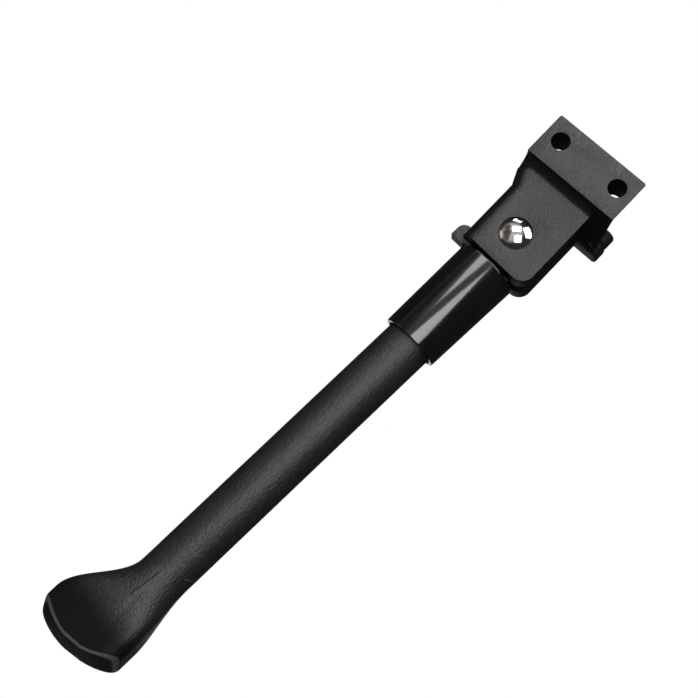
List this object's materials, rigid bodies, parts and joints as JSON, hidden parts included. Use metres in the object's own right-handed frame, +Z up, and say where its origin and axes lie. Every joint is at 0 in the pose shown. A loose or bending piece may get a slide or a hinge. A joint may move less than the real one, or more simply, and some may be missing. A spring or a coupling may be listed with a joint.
{
  "type": "scooter kickstand",
  "caption": "Black side kickstand for an electric scooter: two-hole cast bracket, folding round leg with a flared foot and a sprung sleeve.",
  "frame": {"origin": "middle between the two bolt holes, on the bolted rear face of the block", "axes": "+X along the two bolt holes, towards the side that the leg folds to; +Y out of the bolted face, into the scooter; +Z up, with the leg down along -Z"},
  "size_m": [0.0519, 0.0261, 0.2335],
  "materials": {
    "black_casting": "fine texture black coat on a die casting",
    "black_coat": "satin black coat",
    "black_steel": "black oxide",
    "gloss_sleeve": "gloss",
    "stainless": "polished",
    "zinc_steel": "zinc plated",
    "spring_steel": "oiled steel",
    "bronze": "plain",
    "nylon": "plain",
    "rubber": "matt"
  },
  "bodies": {
    "bracket": {"mount_bracket": "black_casting", "rubber_buffer": "rubber", "pivot_pin": "stainless", "rear_washer": "zinc_steel", "retaining_clip": "spring_steel"},
    "leg": {"leg": "black_coat", "pivot_head": "black_steel", "pivot_bush": "bronze", "front_thrust_washer": "nylon", "rear_thrust_washer": "nylon", "cross_pin": "spring_steel", "detent_spring": "spring_steel", "spring_seat": "zinc_steel"},
    "sleeve": {"sleeve": "gloss_sleeve", "spring_cap": "zinc_steel"}
  },
  "joints": [
    {"name": "leg_fold", "type": "hinge", "parent": "bracket", "child": "leg", "pos_m": [-0.0025, 0, -0.0317], "axis": [0, -1, 0], "range_deg": [0, 92.6]},
    {"name": "sleeve_slide", "type": "slide", "parent": "leg", "child": "sleeve", "axis": [-0.0454, 0, -0.999], "range_m": [0, 0.0087], "deforming": ["detent_spring"]}
  ],
  "couplings": [
    {"joint": "sleeve_slide", "follows": "leg_fold", "m_per_rad": 0.00538}
  ]
}
